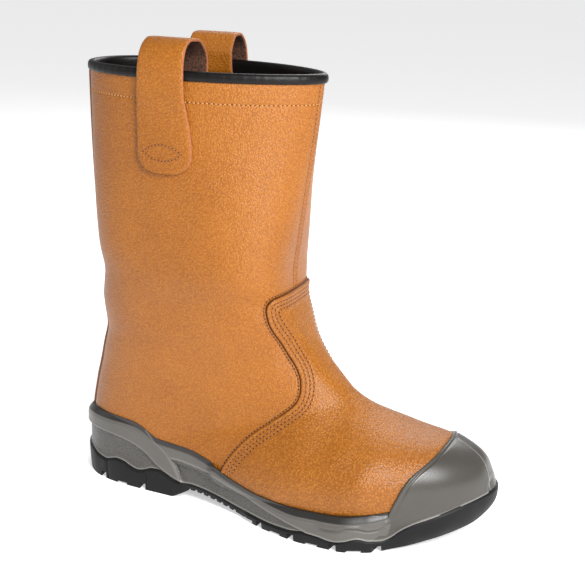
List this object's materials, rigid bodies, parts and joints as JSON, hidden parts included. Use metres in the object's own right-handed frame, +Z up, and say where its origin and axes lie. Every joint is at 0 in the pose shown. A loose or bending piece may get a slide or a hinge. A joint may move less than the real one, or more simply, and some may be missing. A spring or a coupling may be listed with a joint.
{
  "type": "rigger boot",
  "caption": "Right rigger boot: pull-on leather safety boot with a seamed vamp, two pull loops, a bound collar, a grey cup sole with moulded toe cap and a black lugged outsole",
  "frame": {"origin": "On the floor, at the middle of the heel's tread", "axes": "+X runs to the toe, +Y to the inner (big toe) side, -Y to the outer side, +Z up the shaft"},
  "size_m": [0.307, 0.1164, 0.3198],
  "materials": {
    "leather": "grained tan leather, half matt",
    "strip_leather": "brown grained leather",
    "binding": "black piping",
    "insole": "black felt",
    "grey_sole": "dark grey moulded, fine texture",
    "black_sole": "black moulded, matt"
  },
  "bodies": {
    "root": {"upper": "leather", "vamp": "leather", "back_strip": "strip_leather", "pull_loop_outer": "leather", "pull_loop_inner": "leather", "collar_binding": "binding", "insole": "insole", "midsole": "grey_sole", "outsole": "black_sole"}
  },
  "joints": []
}
